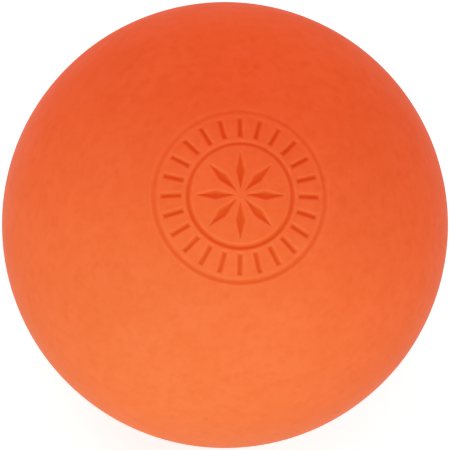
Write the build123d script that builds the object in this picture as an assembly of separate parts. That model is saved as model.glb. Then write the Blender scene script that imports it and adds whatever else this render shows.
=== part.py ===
from build123d import *
import math
import os

# Lacrosse ball: one piece of solid moulded rubber with a recessed roundel on its upper front.
# Millimetres, +Z up, origin at the centre of the ball, front of the ball towards -Y.
# The roundel is built with its axis along +Z and leaned towards the front at the end.

# The ball
ball_diameter = 63.5

# The two ring grooves of the roundel, measured on the plane square to its axis
inner_ring_diameter = 14.5  # across the middle of the groove
inner_ring_width = 0.65
inner_ring_depth = 0.3
ring_spacing = 4.65  # from the middle of the inner groove to the middle of the outer one
outer_ring_width = 0.75
outer_ring_depth = 0.16

# The radial bars in the band between the two rings
bar_count = 24
bar_width = 0.6
bar_depth = 0.3
bar_end_gap = 0.6  # skin left between the end of a bar and the edge of a ring

# The star of lozenge-shaped rays inside the inner ring
ray_count = 8
ray_width = 1.2  # across the middle of a ray
ray_depth = 0.3
ray_end_gap = 1.0  # skin left between the tip of a ray and the edge of the inner ring
hub_diameter = 2.0  # circle on which the inner tips of the rays stand

# How far the axis of the roundel leans from straight up towards the front, in degrees
roundel_lean = 27

ball_radius = ball_diameter / 2
inner_ring_radius = inner_ring_diameter / 2
outer_ring_radius = inner_ring_radius + ring_spacing


def inner_ring():
    """Outline of the inner ring groove."""
    return Circle(inner_ring_radius + inner_ring_width / 2) - Circle(inner_ring_radius - inner_ring_width / 2)


def bars():
    """Outlines of the bars, evenly spaced, each filling the band between the rings up to its end gaps."""
    start = inner_ring_radius + inner_ring_width / 2 + bar_end_gap
    end = outer_ring_radius - outer_ring_width / 2 - bar_end_gap
    bar = Rectangle(end - start, bar_width)
    return Sketch() + [place * bar for place in PolarLocations((start + end) / 2, bar_count)]


def rays():
    """Outlines of the rays, each a lozenge that points away from the middle of the roundel."""
    start = hub_diameter / 2
    end = inner_ring_radius - inner_ring_width / 2 - ray_end_gap
    tip = (end - start) / 2
    side = ray_width / 2
    ray = make_face(Polyline((-tip, 0), (0, side), (tip, 0), (0, -side), close=True))
    return Sketch() + [place * ray for place in PolarLocations((start + end) / 2, ray_count)]


def pressed(outline, depth):
    """Cutter for a mark that the mould presses in along the axis, with a floor concentric with the ball."""
    return extrude(outline, ball_diameter) - Sphere(ball_radius - depth)


def sunk_ball():
    """The ball with the whole place of the roundel sunk to the floor of the outer ring groove."""
    return Sphere(ball_radius) - pressed(Circle(outer_ring_radius + outer_ring_width / 2), outer_ring_depth)


def roundel_face():
    """Plug that brings the skin back inside the outer ring, as a round insert does in the mould.

    Its sphere lies on its side, so that no pole of it falls among the marks.
    """
    plug = extrude(Circle(outer_ring_radius - outer_ring_width / 2), ball_radius)
    return plug & Rot(90, 0, 0) * Sphere(ball_radius)


rubber_ball = sunk_ball() + roundel_face()
rubber_ball -= pressed(inner_ring(), inner_ring_depth)
rubber_ball -= pressed(bars(), bar_depth)
rubber_ball -= pressed(rays(), ray_depth)
rubber_ball = Rot(roundel_lean, 0, 0) * rubber_ball
rubber_ball.label = "rubber_ball"

os.makedirs("parts", exist_ok=True)
export_step(rubber_ball, "parts/rubber_ball.step")
print("outer ring across its middle", 2 * outer_ring_radius, "mm")
print("circumference of the ball", round(math.pi * ball_diameter, 1), "mm")
print("volume", round(rubber_ball.volume / 1000, 2), "cm3")
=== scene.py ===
# %% [markdown]
# # Dressing a moulded rubber ball
# The ball in the photograph is one solid piece of matte orange rubber, with a roundel pressed into it by
# the mould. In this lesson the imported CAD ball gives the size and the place, and Blender gives the looks:
# soft lips on every recess, the skin of the rubber and the light of a small photo studio.
# All lengths are metres, +Z is up, the front is towards -Y, and the ball's centre is the origin.

import math

import bpy
from mathutils import Matrix, Vector


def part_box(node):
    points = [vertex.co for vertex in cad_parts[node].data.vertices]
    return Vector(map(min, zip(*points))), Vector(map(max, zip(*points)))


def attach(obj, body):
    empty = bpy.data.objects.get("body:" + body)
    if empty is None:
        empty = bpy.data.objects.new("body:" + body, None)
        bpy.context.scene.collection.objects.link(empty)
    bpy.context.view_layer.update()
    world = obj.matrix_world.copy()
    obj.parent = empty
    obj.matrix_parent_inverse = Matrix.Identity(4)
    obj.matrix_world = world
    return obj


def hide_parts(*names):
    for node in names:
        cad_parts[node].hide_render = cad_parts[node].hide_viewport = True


def mm(length):
    """A length in millimetres, rounded for printing."""
    return round(1000 * length, 3)


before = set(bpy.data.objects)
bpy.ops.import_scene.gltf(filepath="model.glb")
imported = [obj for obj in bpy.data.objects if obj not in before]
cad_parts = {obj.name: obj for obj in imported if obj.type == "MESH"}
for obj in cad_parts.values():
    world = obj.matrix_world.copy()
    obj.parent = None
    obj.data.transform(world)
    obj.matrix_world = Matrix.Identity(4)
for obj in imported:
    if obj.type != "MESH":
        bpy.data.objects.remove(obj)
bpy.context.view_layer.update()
node_low, node_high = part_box("rubber_ball")
ball_radius = max(*node_high, *-node_low)
print("CAD ball", mm(2 * ball_radius), "mm across")

# %% [markdown]
# ## Where the roundel sits
# The roundel's own axis leans from straight up towards the front. Three directions describe it: its axis,
# the way that is upright on it, and the way to its right. The camera and the recesses both use them, so
# they are worked out once, here, from the lean that the CAD ball has.

# %% The roundel's directions
roundel_lean = math.radians(27)
roundel_axis = Vector((0, -math.sin(roundel_lean), math.cos(roundel_lean)))
roundel_upright = Vector((0, math.cos(roundel_lean), math.sin(roundel_lean)))
roundel_right = Vector((1, 0, 0))
print("roundel axis", [round(part, 3) for part in roundel_axis])

# %% [markdown]
# ## The camera
# In the photograph the ball fills the frame and the roundel sits a little above and to the right of the
# middle. So the camera stands a little below and to the left of the roundel's axis, and it is held so that
# the roundel stands upright in the picture. The lens is chosen last: it is the one that makes the ball's
# outline as large in the frame as it is in the photograph.

# %% Camera
photo_width = 450  # pixels
ball_radius_in_photo = 223.1  # pixels
camera_distance = 1.0
camera_drop = 0.135  # slope below the roundel's axis
camera_shift = 0.069  # slope to the left of it
towards_camera = roundel_axis - camera_drop * roundel_upright - camera_shift * roundel_right
towards_camera.normalize()
picture_right = roundel_upright.cross(towards_camera).normalized()
picture_up = towards_camera.cross(picture_right)

bpy.ops.object.select_all(action="DESELECT")
bpy.ops.object.camera_add(location=towards_camera * camera_distance)
camera = bpy.context.object
camera.name = "photo_camera"
camera.rotation_euler = Matrix((picture_right, picture_up, towards_camera)).transposed().to_euler()
outline_angle = math.asin(ball_radius / camera_distance)
ball_share = ball_radius_in_photo / photo_width
camera.data.lens = camera.data.sensor_width * ball_share / math.tan(outline_angle)
bpy.context.scene.camera = camera
bpy.context.scene.view_settings.view_transform = "Standard"
camera_rise = math.degrees(math.asin(towards_camera.z))
print("camera lens", round(camera.data.lens), "mm, elevation", round(camera_rise, 1), "degrees")

# %% [markdown]
# ## Two helpers for shader nodes
# Every material and the world are small networks of nodes. One helper adds a node with its settings and the
# values of its inputs, the other links an output to an input, so that the networks below read as lists.

# %% Node helpers


def new_node(tree, kind, values=(), **settings):
    """Adds a node of this kind, with its settings and the values of its unlinked inputs."""
    node = tree.nodes.new(kind)
    for name, value in settings.items():
        setattr(node, name, value)
    for name, value in dict(values).items():
        node.inputs[name].default_value = value
    return node


def link(tree, giver, output, taker, socket):
    """Links an output of one node to an input of another."""
    tree.links.new(giver.outputs[output], taker.inputs[socket])


print("helpers for shader nodes are ready")

# %% [markdown]
# ## The floor
# The ball lies on a plain white sheet. A large plane at the ball's lowest point stands for it, and it belongs
# to the studio, not to the part.

# %% Floor
floor_side = 12
bpy.ops.mesh.primitive_plane_add(size=floor_side, location=(0, 0, -ball_radius))
floor = bpy.context.object
floor.name = "studio_floor"
print("floor at", mm(floor.location.z), "mm")

# %% [markdown]
# ## White paper
# The photograph shows the sheet as pure white. A sheet lit at a plain level is a little grey, so camera rays
# get a touch of glow on top of it. Both the paper and the glow are slightly cool, because the warm lamps and
# the ball throw an orange tint on the sheet. The sheet still takes the ball's shadow, and the glow gives no
# light to the ball, because only camera rays see it. Farther out the sheet fades to the white of the
# background, so that no horizon shows when the camera comes down to the floor.

# %% White paper
floor_paper = (0.78, 0.92, 1, 1)
floor_glow = 0.64
glow_tint = (0.9, 1, 1, 1)
fade_start = 0.12
fade_end = 0.5
white_paper = bpy.data.materials.new("white_paper")
white_paper.use_nodes = True
paper = white_paper.node_tree
paper.nodes.clear()
paper_sheet = new_node(paper, "ShaderNodeBsdfDiffuse", {"Color": floor_paper})
paper_glow = new_node(paper, "ShaderNodeEmission", {"Color": glow_tint, "Strength": floor_glow})
paper_rays = new_node(paper, "ShaderNodeLightPath")
paper_glow_seen = new_node(paper, "ShaderNodeMixShader")
paper_sum = new_node(paper, "ShaderNodeAddShader")
paper_place = new_node(paper, "ShaderNodeTexCoord")
paper_reach = new_node(paper, "ShaderNodeVectorMath", operation="LENGTH")
paper_fade = new_node(
    paper,
    "ShaderNodeMapRange",
    {"From Min": fade_start, "From Max": fade_end},
    interpolation_type="SMOOTHSTEP",
)
paper_far_seen = new_node(paper, "ShaderNodeMath", operation="MULTIPLY")
paper_far = new_node(paper, "ShaderNodeEmission", {"Strength": 1})
paper_whole = new_node(paper, "ShaderNodeMixShader")
paper_output = new_node(paper, "ShaderNodeOutputMaterial")
link(paper, paper_rays, "Is Camera Ray", paper_glow_seen, "Fac")
link(paper, paper_glow, "Emission", paper_glow_seen, 2)
link(paper, paper_sheet, "BSDF", paper_sum, 0)
link(paper, paper_glow_seen, "Shader", paper_sum, 1)
link(paper, paper_place, "Object", paper_reach, 0)
link(paper, paper_reach, "Value", paper_fade, "Value")
link(paper, paper_fade, "Result", paper_far_seen, 0)
link(paper, paper_rays, "Is Camera Ray", paper_far_seen, 1)
link(paper, paper_far_seen, "Value", paper_whole, "Fac")
link(paper, paper_sum, "Shader", paper_whole, 1)
link(paper, paper_far, "Emission", paper_whole, 2)
link(paper, paper_whole, "Shader", paper_output, "Surface")
floor.data.materials.append(white_paper)
print("paper fades from", mm(fade_start), "to", mm(fade_end), "mm from the ball's middle")

# %% [markdown]
# ## The fill light
# The walls of a studio send soft light from all round, here a warm one. The world gives that light to the
# ball, and the camera sees it as plain white, so that the background is white however strong the fill is.

# %% World
fill_strength = 0.42
fill_tint = (1, 0.6, 0.59, 1)
studio_walls = bpy.data.worlds.new("studio_walls")
studio_walls.use_nodes = True
bpy.context.scene.world = studio_walls
walls = studio_walls.node_tree
walls.nodes.clear()
wall_fill = new_node(walls, "ShaderNodeBackground", {"Color": fill_tint, "Strength": fill_strength})
wall_white = new_node(walls, "ShaderNodeBackground", {"Color": (1, 1, 1, 1), "Strength": 1})
wall_rays = new_node(walls, "ShaderNodeLightPath")
camera_or_gloss = new_node(walls, "ShaderNodeMath", operation="MAXIMUM")
seen_plainly = new_node(walls, "ShaderNodeMath", operation="MAXIMUM")
wall_choice = new_node(walls, "ShaderNodeMixShader")
wall_output = new_node(walls, "ShaderNodeOutputWorld")
link(walls, wall_rays, "Is Camera Ray", camera_or_gloss, 0)
link(walls, wall_rays, "Is Glossy Ray", camera_or_gloss, 1)
link(walls, camera_or_gloss, "Value", seen_plainly, 0)
link(walls, wall_rays, "Is Transmission Ray", seen_plainly, 1)
link(walls, seen_plainly, "Value", wall_choice, "Fac")
link(walls, wall_fill, "Background", wall_choice, 1)
link(walls, wall_white, "Background", wall_choice, 2)
link(walls, wall_choice, "Shader", wall_output, "Surface")
print("fill strength", fill_strength)

# %% [markdown]
# ## The lamps
# The photograph is brightest at the bottom of the ball and a little towards its left, and it has no hard
# highlight. Wide area lamps do that: two long low strips in front of the ball, and boxes above, behind and at
# both sides of it, so that no side is left flat. The red of the photograph hardly changes from top to bottom,
# while its green and blue grow much stronger downwards. So the strips are cool, as daylight from a window is,
# and the boxes and the fill are warm, as the light of a room is.

# %% Lamps


def softbox(name, tint, watts, azimuth, elevation, distance, size):
    """Area lamp that faces the ball; azimuth 0 is in front of it and 90 to its right, in degrees."""
    turn = math.radians(azimuth)
    rise = math.radians(elevation)
    place = Vector((math.sin(turn) * math.cos(rise), -math.cos(turn) * math.cos(rise), math.sin(rise)))
    bpy.ops.object.light_add(type="AREA", location=place * distance)
    lamp = bpy.context.object
    lamp.name = name
    lamp.rotation_euler = place.to_track_quat("Z", "Y").to_euler()
    lamp.data.shape = "RECTANGLE"
    lamp.data.size, lamp.data.size_y = size
    lamp.data.energy = watts
    lamp.data.color = tint
    lamp.visible_camera = False
    print(name, watts, "W")


lamp_cool = (0.55, 1, 1)
lamp_warm = (1, 0.6, 0.5)
softbox("front_strip", lamp_cool, watts=0.74, azimuth=0, elevation=3, distance=0.35, size=(0.7, 0.08))
softbox("left_strip", lamp_cool, watts=0.71, azimuth=-30, elevation=3, distance=0.45, size=(0.5, 0.1))
softbox("top_box", lamp_warm, watts=0.69, azimuth=0, elevation=90, distance=0.7, size=(0.6, 0.6))
softbox("back_left_box", lamp_warm, watts=1.29, azimuth=-140, elevation=40, distance=0.7, size=(0.5, 0.4))
softbox("left_box", lamp_warm, watts=0.43, azimuth=-80, elevation=35, distance=0.7, size=(0.5, 0.4))
softbox("right_box", lamp_warm, watts=1.34, azimuth=80, elevation=35, distance=0.7, size=(0.5, 0.4))

# %% [markdown]
# ## The ball's half outline
# A ball could start as a UV sphere, but a sphere's rings are evenly spread, and this ball needs them close
# together where the roundel is and wide apart elsewhere. So it is turned, as on a lathe: half a circle
# stands on the roundel's axis, gets extra points near the top, and is spun round later.
# The half circle is a circle primitive that is stood up and cut in two.

# %% Half outline
outline_points = 120
bpy.ops.object.select_all(action="DESELECT")
bpy.ops.mesh.primitive_circle_add(vertices=outline_points, radius=ball_radius, rotation=(math.pi / 2, 0, 0))
ball_skin = bpy.context.object
ball_skin.name = "ball_skin"
ball_skin.data.name = "ball_skin"
bpy.ops.object.transform_apply(location=False, rotation=True, scale=False)
bpy.ops.object.mode_set(mode="EDIT")
bpy.ops.mesh.select_all(action="SELECT")
bpy.ops.mesh.bisect(plane_co=(0, 0, 0), plane_no=(1, 0, 0), clear_inner=True)
bpy.ops.object.mode_set(mode="OBJECT")
print("half outline of", len(ball_skin.data.vertices), "points")

# %% [markdown]
# ## Extra points where detail comes
# The recesses are about half a millimetre wide, so the half outline needs many points near its top, most of
# all beside the two rings, where the lips bend. A few more go to the equator, where the two halves of the
# mould met and left a thin line. Everywhere else the wide steps are enough.

# %% Finer rings
inner_ring_radius = 0.00725
outer_ring_radius = 0.0119
fine_zone_angle = math.radians(24.1)  # from the axis to a little outside the outer ring
fine_zone_height = ball_radius * math.cos(fine_zone_angle)
fine_cuts = 11
lip_zone_reach = 0.0013
lip_cuts = 1
parting_cuts = 7


def divide(chosen, cuts):
    """Divides the edges of the half outline whose middles are chosen, by this many cuts."""
    mesh = ball_skin.data
    bpy.ops.object.mode_set(mode="EDIT")
    bpy.ops.mesh.select_all(action="DESELECT")
    bpy.ops.object.mode_set(mode="OBJECT")
    for edge in mesh.edges:
        first, second = [mesh.vertices[index].co for index in edge.vertices]
        edge.select = chosen((first + second) / 2)
    bpy.ops.object.mode_set(mode="EDIT")
    bpy.ops.mesh.subdivide(number_cuts=cuts)
    bpy.ops.object.mode_set(mode="OBJECT")
    print("divided outline of", len(mesh.vertices), "points")


def in_fine_zone(middle):
    """True in the zone of the roundel."""
    return middle.z > fine_zone_height


def in_lip_zone(middle):
    """True beside one of the two rings."""
    beside = min(abs(middle.x - inner_ring_radius), abs(middle.x - outer_ring_radius))
    return in_fine_zone(middle) and beside < lip_zone_reach


def on_equator(middle):
    """True on the two edges that meet at the equator."""
    return abs(middle.z) < ball_radius * math.sin(2 * math.pi / outline_points)


divide(in_fine_zone, fine_cuts)
divide(in_lip_zone, lip_cuts)
divide(on_equator, parting_cuts)

# %% [markdown]
# ## Turning the skin
# The Screw modifier carries the half outline once round the axis, as Spin does, and is much quicker with so
# many steps. Where the turn closes, and at both poles, points lie on top of each other, so they are merged
# before the normals are made to point outwards. The new points of the divided edges lie on straight chords,
# and the Cast modifier moves them out onto the true sphere.

# %% Turn the skin
turn_steps = 480
merge_distance = 1e-7
bpy.ops.object.modifier_add(type="SCREW")
lathe = ball_skin.modifiers[-1]
lathe.axis = "Z"
lathe.angle = 2 * math.pi
lathe.screw_offset = 0
lathe.steps = turn_steps
lathe.render_steps = turn_steps
bpy.ops.object.modifier_apply(modifier=lathe.name)

bpy.ops.object.mode_set(mode="EDIT")
bpy.ops.mesh.select_all(action="SELECT")
bpy.ops.mesh.remove_doubles(threshold=merge_distance)
bpy.ops.mesh.normals_make_consistent(inside=False)
bpy.ops.object.mode_set(mode="OBJECT")

bpy.ops.object.modifier_add(type="CAST")
round_out = ball_skin.modifiers[-1]
round_out.cast_type = "SPHERE"
round_out.factor = 1
round_out.use_radius_as_size = False
round_out.size = ball_radius
bpy.ops.object.modifier_apply(modifier=round_out.name)
radii = [vertex.co.length for vertex in ball_skin.data.vertices]
print("skin of", len(ball_skin.data.polygons), "faces, radius", mm(min(radii)), "to", mm(max(radii)), "mm")

# %% [markdown]
# ## The recesses
# The mould's insert presses two rings, a band of bars and a star of rays into the rubber. They could be cut
# with Booleans, but cut edges are knife-sharp and hard to shade, and rubber comes out of its mould with soft
# lips. So each point of the skin gets a weight, from 0 on the skin to 1 on the deepest floor, and one
# Displace modifier sinks the points by their weights. The sizes are those of the CAD ball.
# Every shape is measured by how far a point lies inside its outline.

# %% Outlines of the recesses
inner_ring_width = 0.00065
inner_ring_depth = 0.0003
outer_ring_width = 0.00075
outer_ring_depth = 0.00016
bar_count = 24
bar_width = 0.0006
bar_depth = 0.0003
bar_end_gap = 0.0006
ray_count = 8
ray_width = 0.0012
ray_depth = 0.0003
ray_end_gap = 0.001
hub_radius = 0.001


def inside_ring(distance, radius, width):
    """How far a point at this distance from the axis lies inside a ring groove."""
    return width / 2 - abs(distance - radius)


def along_and_across(distance, angle, count):
    """A point's place along and across the nearest of several evenly spaced spokes."""
    pitch = 2 * math.pi / count
    off_spoke = angle - pitch * round(angle / pitch)
    return distance * math.cos(off_spoke), distance * math.sin(off_spoke)


def inside_bar(distance, angle):
    """How far a point lies inside the nearest square-ended bar."""
    along, across = along_and_across(distance, angle, bar_count)
    start = inner_ring_radius + inner_ring_width / 2 + bar_end_gap
    end = outer_ring_radius - outer_ring_width / 2 - bar_end_gap
    return min(bar_width / 2 - abs(across), along - start, end - along)


def inside_ray(distance, angle):
    """How far a point lies inside the nearest lozenge-shaped ray."""
    along, across = along_and_across(distance, angle, ray_count)
    end = inner_ring_radius - inner_ring_width / 2 - ray_end_gap
    half_length = (end - hub_radius) / 2
    middle = (end + hub_radius) / 2
    half_width = ray_width / 2
    share = 1 - abs(along - middle) / half_length - abs(across) / half_width
    from_sides = share * half_length * half_width / math.hypot(half_length, half_width)
    from_tips = half_length - abs(along - middle)
    return min(from_sides, from_tips)


print("bars and rays", bar_count, ray_count)

# %% [markdown]
# ## Soft lips
# The depth rises from nothing just outside an outline to the full depth a little inside it, along a smooth
# S curve. That is the rounded lip and the rounded foot of a moulded recess, and the deeper the recess, the
# wider its lip. In the photograph the two rings are fainter towards the top, as if the tool that turned them
# into the mould had been a little askew, so their depth falls off evenly from the bottom of the roundel to
# its top. A second measure finds the narrow band of skin along each outline, where the colour is made a
# little paler as a painted highlight.

# %% Depth and lip at a point
lip_for_depth = 0.8  # width of the lip outside an outline, as a share of the depth inside it
lip_inside = 0.00034
# the band of painted highlight along each outline: its middle and its reach
highlight_band_middle = 0.0002
highlight_band_reach = 0.00028
lost_at_top = 0.5  # share of its depth that the outer ring lacks at the top
deepest = max(inner_ring_depth, outer_ring_depth, bar_depth, ray_depth)


def smooth(share):
    """An S curve from 0 to 1, flat outside that range."""
    share = min(1, max(0, share))
    return share * share * (3 - 2 * share)


def sunk(inside, full):
    """Depth at a point this far inside the outline of a recess of this full depth."""
    lip_outside = lip_for_depth * full
    return full * smooth((inside + lip_outside) / (lip_outside + lip_inside))


def depth_and_lip(distance, angle):
    """Depth of the roundel's recesses at a point of the skin, and its share of the painted lip highlight."""
    upwards = distance * math.sin(angle) / outer_ring_radius
    turned = 1 - lost_at_top * (1 + upwards) / 2
    recesses = [
        (inside_ring(distance, inner_ring_radius, inner_ring_width), turned * inner_ring_depth),
        (inside_ring(distance, outer_ring_radius, outer_ring_width), turned * outer_ring_depth),
        (inside_bar(distance, angle), bar_depth),
        (inside_ray(distance, angle), ray_depth),
    ]
    depth = max(sunk(inside, full) for inside, full in recesses)
    nearest = max(inside for inside, full in recesses)
    # share of the painted lip highlight, in a band along the nearest outline
    lip = smooth(1 - abs(nearest + highlight_band_middle) / highlight_band_reach)
    return depth, lip


for side, side_angle in (("bottom", -math.pi / 2), ("top", math.pi / 2)):
    side_depth, side_lip = depth_and_lip(inner_ring_radius, side_angle)
    print("inner ring at the", side, mm(side_depth), "mm deep")

# %% [markdown]
# ## The parting line
# The two halves of the mould meet on the great circle that faces the roundel squarely. The thin flash that
# the rubber leaves there is trimmed off, and a low line stays, in some places more than in others. It lies
# at the very rim of the photograph, and the other views show it as they would on the real ball.

# %% Parting line at a point
parting_width = 0.0006
parting_height = 0.00005
mean_left = 0.65  # share of the height that is left on average
slow_wave = 0.25
slow_waves_round = 3
slow_wave_start = 1
quick_wave = 0.1
quick_waves_round = 8


def parting_share(height, angle):
    """How much of the trimmed line stands at a point this high above the equator, round the ball."""
    slow = slow_wave * math.sin(slow_waves_round * angle + slow_wave_start)
    quick = quick_wave * math.sin(quick_waves_round * angle)
    return (mean_left + slow + quick) * smooth(1 - 2 * abs(height) / parting_width)


print("parting line at most", mm(parting_height), "mm high")

# %% [markdown]
# ## Measuring the skin
# Now every point of the skin is measured once. Points near the roundel get a depth and a share of painted
# lip highlight, all others a share of the parting line, which is nothing except along the equator. Working
# out a list of values first keeps the shaping and the colouring in step, because both use the same lists.

# %% Measure every point
point_count = len(ball_skin.data.vertices)
depths = [0.0] * point_count
lips = [0.0] * point_count
partings = [0.0] * point_count
for vertex in ball_skin.data.vertices:
    angle = math.atan2(vertex.co.y, vertex.co.x)
    if vertex.co.z > fine_zone_height:
        distance = math.hypot(vertex.co.x, vertex.co.y)
        depths[vertex.index], lips[vertex.index] = depth_and_lip(distance, angle)
    else:
        partings[vertex.index] = parting_share(vertex.co.z, angle)
print("points that sink", sum(depth > 0 for depth in depths))
print("points on lips", sum(lip > 0 for lip in lips))
print("points on the parting line", sum(share > 0 for share in partings))

# %% [markdown]
# ## Pressing and raising
# The mould's insert stands proud of the mould's wall and so leaves recesses in the rubber, and the gap
# between the mould's halves leaves a raised line. A Displace modifier makes both: it moves each point along
# its normal by its weight in a vertex group, inwards for the recesses and outwards for the line.

# %% Press the recesses and raise the parting line


def move_points(name, weights, reach):
    """Moves the skin's points along their normals, by their weights times a reach."""
    group = ball_skin.vertex_groups.new(name=name)
    for index, weight in enumerate(weights):
        if weight > 0:
            group.add([index], weight, "REPLACE")
    bpy.ops.object.modifier_add(type="DISPLACE")
    press = ball_skin.modifiers[-1]
    press.vertex_group = group.name
    press.direction = "NORMAL"
    press.mid_level = 0
    press.strength = reach
    bpy.ops.object.modifier_apply(modifier=press.name)


recess_shares = [depth / deepest for depth in depths]
move_points("recess_depth", recess_shares, -deepest)
move_points("parting_line", partings, parting_height)
radii = [vertex.co.length for vertex in ball_skin.data.vertices]
print("deepest recess", mm(ball_radius - min(radii)), "mm")
print("highest point of the parting line", mm(max(radii) - ball_radius), "mm")

# %% [markdown]
# ## Masks for the material
# The material has to know where the recesses, the lips and the parting line are. Each is kept on the
# mesh as a named attribute. The recess mask sets the painted shade in the recesses, and a shallow recess gets
# nearly as much of it as a deep one, so the depth is bent upwards before it is kept. The lip mask sets the
# painted highlight along the lips.

# %% Masks
# painted shade in the recesses: shallow recesses get nearly as much of it as deep ones
recess_shade_bend = 0.7


def keep_mask(name, values):
    """Keeps one value for each point of the skin, under a name that the material reads."""
    mask = ball_skin.data.attributes.new(name, "FLOAT", "POINT")
    mask.data.foreach_set("value", values)
    print("mask", name)


# the recess mask sets how much painted shade each point gets
keep_mask("recess", [share ** recess_shade_bend for share in recess_shares])
# the lip mask sets how much painted highlight each point gets
keep_mask("painted_lip_highlight", lips)
keep_mask("parting", partings)

# %% [markdown]
# ## Leaning the roundel
# The skin was turned about the upright axis, which is easy to measure from. Now the whole mesh leans to the
# front as the CAD ball does, and the turn is applied, so that the object itself stays unturned.

# %% Lean and smooth
ball_skin.rotation_euler = (roundel_lean, 0, 0)
bpy.ops.object.transform_apply(location=False, rotation=True, scale=False)
bpy.ops.object.shade_smooth()
triangles = sum(len(face.vertices) - 2 for face in ball_skin.data.polygons)
print("ball skin of", triangles, "triangles")

# %% [markdown]
# ## The rubber's colour
# Moulded rubber is coloured right through, but seen close its colour isn't flat. The pigment is a little
# cloudy over a few millimetres and mottled over one or two, and a fine grain lies over that. Each of these is
# a noise texture at its real size, read from Object coordinates, and each shifts the orange only a little.
# Each has a span, the values of the noise that count, and a most, the largest share of colour mixed in.

# %% Cloudy orange
rubber_orange = (0.94, 0.17, 0.0434, 1)
rubber_deep = (0.897, 0.152, 0.0345, 1)
rubber_mottle = (0.9, 0.15, 0.0315, 1)
rubber_pale = (0.95, 0.185, 0.0535, 1)
cloud_size = 0.007
cloud_span = (0.35, 0.7)
cloud_most = 0.5
mottle_size = 0.0016
mottle_span = (0.4, 0.68)
mottle_most = 0.7
grain_size = 0.0005
grain_span = (0.4, 0.75)
grain_most = 0.3
noise_roughness = 0.55
rubber_material = bpy.data.materials.new("moulded_orange_rubber")
rubber_material.use_nodes = True
rubber = rubber_material.node_tree
rubber_shader = rubber.nodes["Principled BSDF"]
rubber_place = new_node(rubber, "ShaderNodeTexCoord")


def noise(size, detail):
    """A noise texture with features of this size, on the ball's own coordinates."""
    texture = new_node(
        rubber,
        "ShaderNodeTexNoise",
        {"Scale": 1 / size, "Detail": detail, "Roughness": noise_roughness},
    )
    link(rubber, rubber_place, "Object", texture, "Vector")
    return texture


def share_of(giver, output, span, most, least=0):
    """Turns the values of a texture or mask in this span into a share from least to most."""
    ramp = new_node(
        rubber,
        "ShaderNodeMapRange",
        {"From Min": span[0], "From Max": span[1], "To Min": least, "To Max": most},
        interpolation_type="SMOOTHSTEP",
    )
    link(rubber, giver, output, ramp, "Value")
    return ramp


def tint(under, share, share_output, colour):
    """Mixes a colour over what lies under it, by a share."""
    mix = new_node(rubber, "ShaderNodeMixRGB", {"Color2": colour}, blend_type="MIX")
    link(rubber, share, share_output, mix, "Fac")
    if under is None:
        mix.inputs["Color1"].default_value = rubber_orange
    else:
        link(rubber, under, "Color", mix, "Color1")
    return mix


clouds = noise(cloud_size, detail=3)
mottle = noise(mottle_size, detail=2)
grain = noise(grain_size, detail=2)
cloudy = tint(None, share_of(clouds, "Fac", cloud_span, cloud_most), "Result", rubber_deep)
mottled = tint(cloudy, share_of(mottle, "Fac", mottle_span, mottle_most), "Result", rubber_mottle)
grainy = tint(mottled, share_of(grain, "Fac", grain_span, grain_most), "Result", rubber_pale)
print("clouds", mm(cloud_size), "mm, mottles", mm(mottle_size), "mm, grain", mm(grain_size), "mm")

# %% [markdown]
# ## Specks and flecks
# Here and there the rubber has a darker speck of unmixed pigment or a pale fleck of dust from the mould. A
# Voronoi texture puts one spot in each of its cells, and only some of the cells keep theirs. Its spots are
# round, so a fine noise first pushes the coordinates about, which makes them uneven.

# %% Specks and flecks
speck_colour = (0.79, 0.104, 0.019, 1)
fleck_colour = (0.97, 0.42, 0.25, 1)
speck_spacing = 0.0022
fleck_spacing = 0.011
wobble_size = 0.0007
wobble_reach = 0.0006
noise_middle = (0.5, 0.5, 0.5)
wobble = noise(wobble_size, detail=1)
wobble_centred = new_node(rubber, "ShaderNodeVectorMath", {1: noise_middle}, operation="SUBTRACT")
wobble_scaled = new_node(rubber, "ShaderNodeVectorMath", {"Scale": wobble_reach}, operation="SCALE")
wobbled_place = new_node(rubber, "ShaderNodeVectorMath", operation="ADD")
link(rubber, wobble, "Color", wobble_centred, 0)
link(rubber, wobble_centred, "Vector", wobble_scaled, 0)
link(rubber, wobble_scaled, "Vector", wobbled_place, 0)
link(rubber, rubber_place, "Object", wobbled_place, 1)


def spots(spacing, reach, kept, most):
    """A share that is high on small uneven spots: in a part of the cells of a Voronoi texture."""
    cells = new_node(rubber, "ShaderNodeTexVoronoi", {"Scale": 1 / spacing, "Randomness": 1})
    link(rubber, wobbled_place, "Vector", cells, "Vector")
    near = share_of(cells, "Distance", (reach, 0), most)
    parts = new_node(rubber, "ShaderNodeSeparateColor")
    link(rubber, cells, "Color", parts, "Color")
    picked = new_node(rubber, "ShaderNodeMath", {1: kept}, operation="LESS_THAN")
    link(rubber, parts, "Red", picked, 0)
    both = new_node(rubber, "ShaderNodeMath", operation="MULTIPLY")
    link(rubber, near, "Result", both, 0)
    link(rubber, picked, "Value", both, 1)
    return both


specks = spots(speck_spacing, reach=0.42, kept=0.5, most=0.22)
flecks = spots(fleck_spacing, reach=0.04, kept=0.4, most=0.7)
specked = tint(grainy, specks, "Value", speck_colour)
flecked = tint(specked, flecks, "Value", fleck_colour)
print("cells of specks", mm(speck_spacing), "mm, of flecks", mm(fleck_spacing), "mm")
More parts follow.
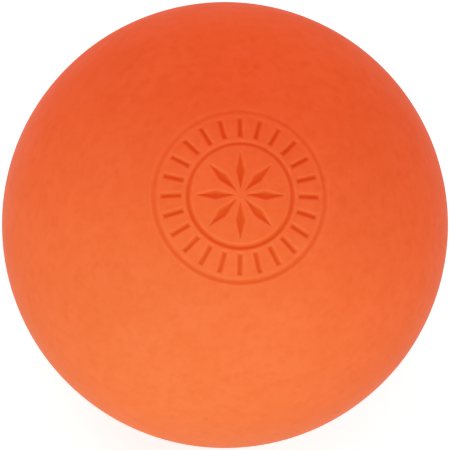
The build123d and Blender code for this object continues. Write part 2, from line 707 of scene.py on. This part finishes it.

# %% [markdown]
# ## Painted shade in the recesses and painted highlight on their lips
# Inside a recess less light comes in and it bounces between orange walls, so the floor's colour is painted
# deeper and redder than the skin. This painted shade follows the depth, so it is weaker towards the top of
# the roundel. The lips get a painted highlight, a little paler than the skin. The parting line is rubbed, so
# it is a little paler too. The three masks on the mesh say where that is.

# %% Painted recess shade and lip highlight
# painted shade: the colour of the recess floors is made deeper and redder
recess_shade_colour = (0.775, 0.082, 0.0018, 1)
recess_shade_most = 0.74
# painted highlight: the colour along the lips is made paler
lip_highlight_colour = (0.97, 0.245, 0.088, 1)
lip_highlight_most = 0.12
parting_colour = (0.97, 0.27, 0.115, 1)
parting_most = 0.3
mask_span = (0, 1)
recess_read = new_node(rubber, "ShaderNodeAttribute", attribute_name="recess")
lip_read = new_node(rubber, "ShaderNodeAttribute", attribute_name="painted_lip_highlight")
# painted highlight along the lips
lip_highlighted = tint(flecked, share_of(lip_read, "Fac", mask_span, lip_highlight_most), "Result", lip_highlight_colour)
# painted shade in the recesses, weaker towards the top of the roundel where they are shallower
recess_shaded = tint(lip_highlighted, share_of(recess_read, "Fac", mask_span, recess_shade_most), "Result", recess_shade_colour)
parting_read = new_node(rubber, "ShaderNodeAttribute", attribute_name="parting")
parted = tint(recess_shaded, share_of(parting_read, "Fac", mask_span, parting_most), "Result", parting_colour)
link(rubber, parted, "Color", rubber_shader, "Base Color")
print("most of the tints: recess", recess_shade_most, "lip", lip_highlight_most, "parting line", parting_most)

# %% [markdown]
# ## Gloss and skin
# Rubber straight from the mould is matte. Its gloss is weak and wide, a little uneven, and it shows mostly
# at the rim, where light grazes the skin. The finest grain is bump: it is far below what a mesh can hold.

# %% Gloss and fine skin
gloss_level = 0.12
sheen_weight = 0.16
sheen_roughness = 0.3
roughness_low = 0.64
roughness_high = 0.78
roughness_span = (0.3, 0.7)
fine_grain_size = 0.00022
skin_relief = 0.0000045
rubber_shader.inputs["Specular IOR Level"].default_value = gloss_level
rubber_shader.inputs["Sheen Weight"].default_value = sheen_weight
rubber_shader.inputs["Sheen Roughness"].default_value = sheen_roughness
gloss = share_of(clouds, "Fac", roughness_span, roughness_high, least=roughness_low)
link(rubber, gloss, "Result", rubber_shader, "Roughness")
fine_grain = noise(fine_grain_size, detail=1)
skin = new_node(rubber, "ShaderNodeBump", {"Strength": 1, "Distance": skin_relief})
link(rubber, fine_grain, "Fac", skin, "Height")
link(rubber, skin, "Normal", rubber_shader, "Normal")
ball_skin.data.materials.clear()
ball_skin.data.materials.append(rubber_material)
print("roughness", roughness_low, "to", roughness_high)

# %% [markdown]
# ## Joining the frame
# The skin rides on the part's only body and stands for the CAD ball, which stays for collision.

# %% Join and finish
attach(ball_skin, "root")
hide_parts("rubber_ball")
